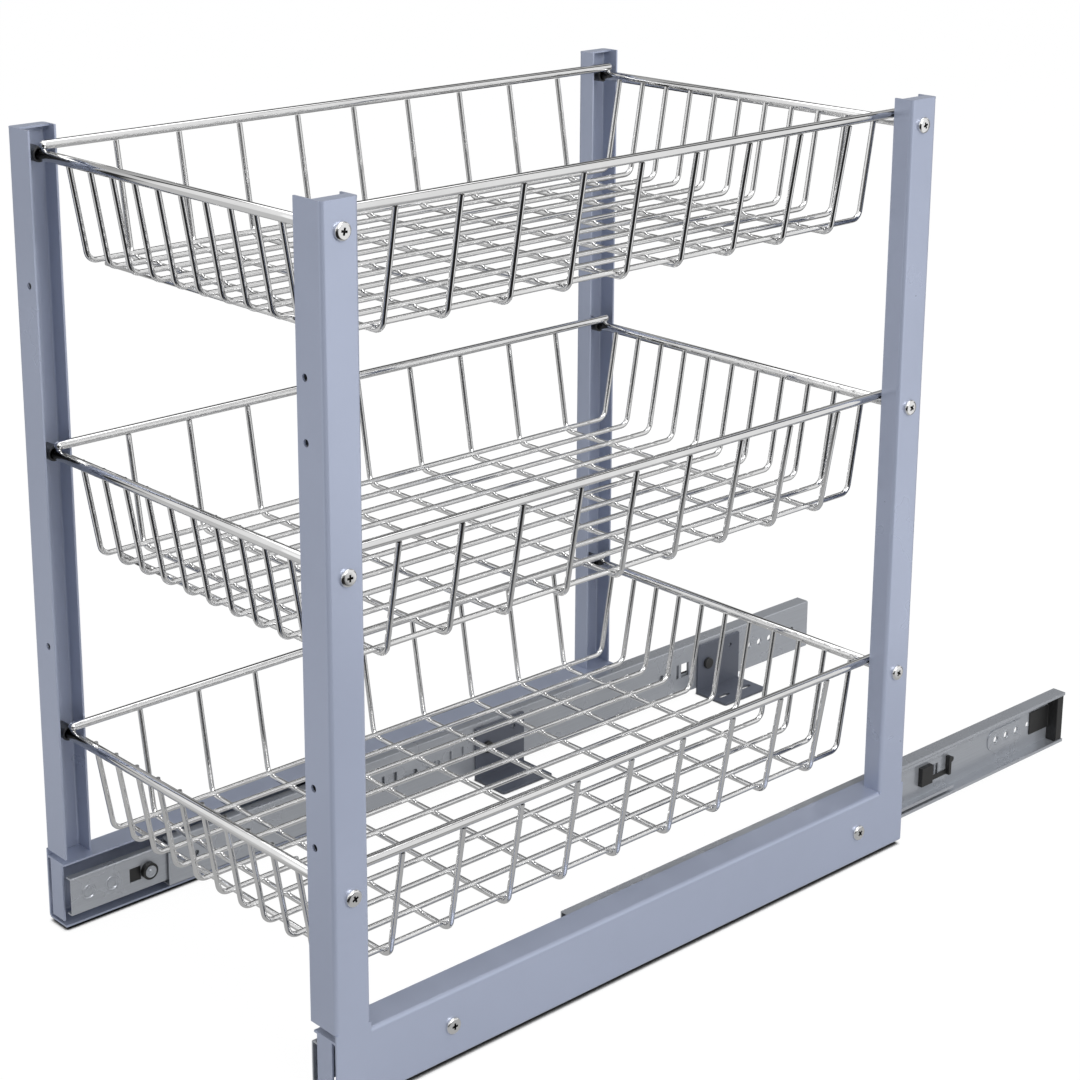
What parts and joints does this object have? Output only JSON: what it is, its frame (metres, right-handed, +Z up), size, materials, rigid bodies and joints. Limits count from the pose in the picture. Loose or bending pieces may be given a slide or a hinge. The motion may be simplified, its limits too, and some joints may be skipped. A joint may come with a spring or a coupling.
{
  "type": "pull-out cabinet basket unit",
  "caption": "Wire baskets in folded side frames that pull out of a narrow kitchen cabinet on floor-standing ball slides.",
  "frame": {"origin": "middle of the footprint at the cabinet floor, under the bracket feet, with the unit pulled out as it is stored", "axes": "+X across the unit to the right seen from the door side, +Y from the door side to the back of the cabinet, +Z up"},
  "size_m": [0.3452, 0.805, 0.5885],
  "materials": {
    "frame_paint": "satin blue-silver powder coat",
    "chrome_wire": "bright chrome plating",
    "screw_steel": "bright nickel plating",
    "bushing_steel": "black oxide",
    "zinc_steel": "bright zinc plating",
    "ball_steel": "polished",
    "black_plastic": "moulded, matt",
    "bracket_paint": "dark grey powder coat",
    "bolt_black": "black oxide"
  },
  "bodies": {
    "floor_fixing": {"left_cabinet_member": "zinc_steel", "left_stop": "black_plastic", "right_cabinet_member": "zinc_steel", "right_stop": "black_plastic", "left_front_bracket": "bracket_paint", "left_back_bracket": "bracket_paint", "right_front_bracket": "bracket_paint", "right_back_bracket": "bracket_paint", "bracket_bolts": "bolt_black"},
    "left_middle": {"left_middle_member": "zinc_steel", "left_buffer": "black_plastic"},
    "basket_unit": {"left_frame": "frame_paint", "right_frame": "frame_paint", "top_rim_rods": "chrome_wire", "top_long_wires": "chrome_wire", "top_cross_wires": "chrome_wire", "top_bushings": "bushing_steel", "middle_rim_rods": "chrome_wire", "middle_long_wires": "chrome_wire", "middle_cross_wires": "chrome_wire", "middle_bushings": "bushing_steel", "bottom_rim_rods": "chrome_wire", "bottom_long_wires": "chrome_wire", "bottom_cross_wires": "chrome_wire", "bottom_bushings": "bushing_steel", "basket_screws": "screw_steel", "slide_screws": "screw_steel", "slide_sleeves": "zinc_steel", "left_drawer_member": "zinc_steel", "left_catch": "black_plastic", "right_drawer_member": "zinc_steel", "right_catch": "black_plastic"},
    "right_middle": {"right_middle_member": "zinc_steel", "right_buffer": "black_plastic"},
    "left_outer_rollers": {"left_outer_cage": "zinc_steel", "left_outer_balls": "ball_steel"},
    "left_inner_rollers": {"left_inner_cage": "zinc_steel", "left_inner_balls": "ball_steel"},
    "right_outer_rollers": {"right_outer_cage": "zinc_steel", "right_outer_balls": "ball_steel"},
    "right_inner_rollers": {"right_inner_cage": "zinc_steel", "right_inner_balls": "ball_steel"}
  },
  "joints": [
    {"name": "middle_slide", "type": "slide", "parent": "floor_fixing", "child": "left_middle", "axis": [0, -1, 0], "range_m": [-0.14, 0.145]},
    {"name": "unit_slide", "type": "slide", "parent": "left_middle", "child": "basket_unit", "axis": [0, -1, 0], "range_m": [-0.01, 0.25]},
    {"name": "right_middle_slide", "type": "slide", "parent": "floor_fixing", "child": "right_middle", "axis": [0, -1, 0], "range_m": [-0.14, 0.145]},
    {"name": "left_outer_roll", "type": "slide", "parent": "floor_fixing", "child": "left_outer_rollers", "axis": [0, -1, 0], "range_m": [-0.07, 0.0725]},
    {"name": "right_outer_roll", "type": "slide", "parent": "floor_fixing", "child": "right_outer_rollers", "axis": [0, -1, 0], "range_m": [-0.07, 0.0725]},
    {"name": "left_inner_roll", "type": "slide", "parent": "left_middle", "child": "left_inner_rollers", "axis": [0, -1, 0], "range_m": [-0.005, 0.125]},
    {"name": "right_inner_roll", "type": "slide", "parent": "right_middle", "child": "right_inner_rollers", "axis": [0, -1, 0], "range_m": [-0.005, 0.125]}
  ],
  "couplings": [
    {"joint": "right_middle_slide", "follows": "middle_slide", "ratio": 1},
    {"joint": "left_outer_roll", "follows": "middle_slide", "ratio": 0.5},
    {"joint": "right_outer_roll", "follows": "middle_slide", "ratio": 0.5},
    {"joint": "left_inner_roll", "follows": "unit_slide", "ratio": 0.5},
    {"joint": "right_inner_roll", "follows": "unit_slide", "ratio": 0.5}
  ]
}
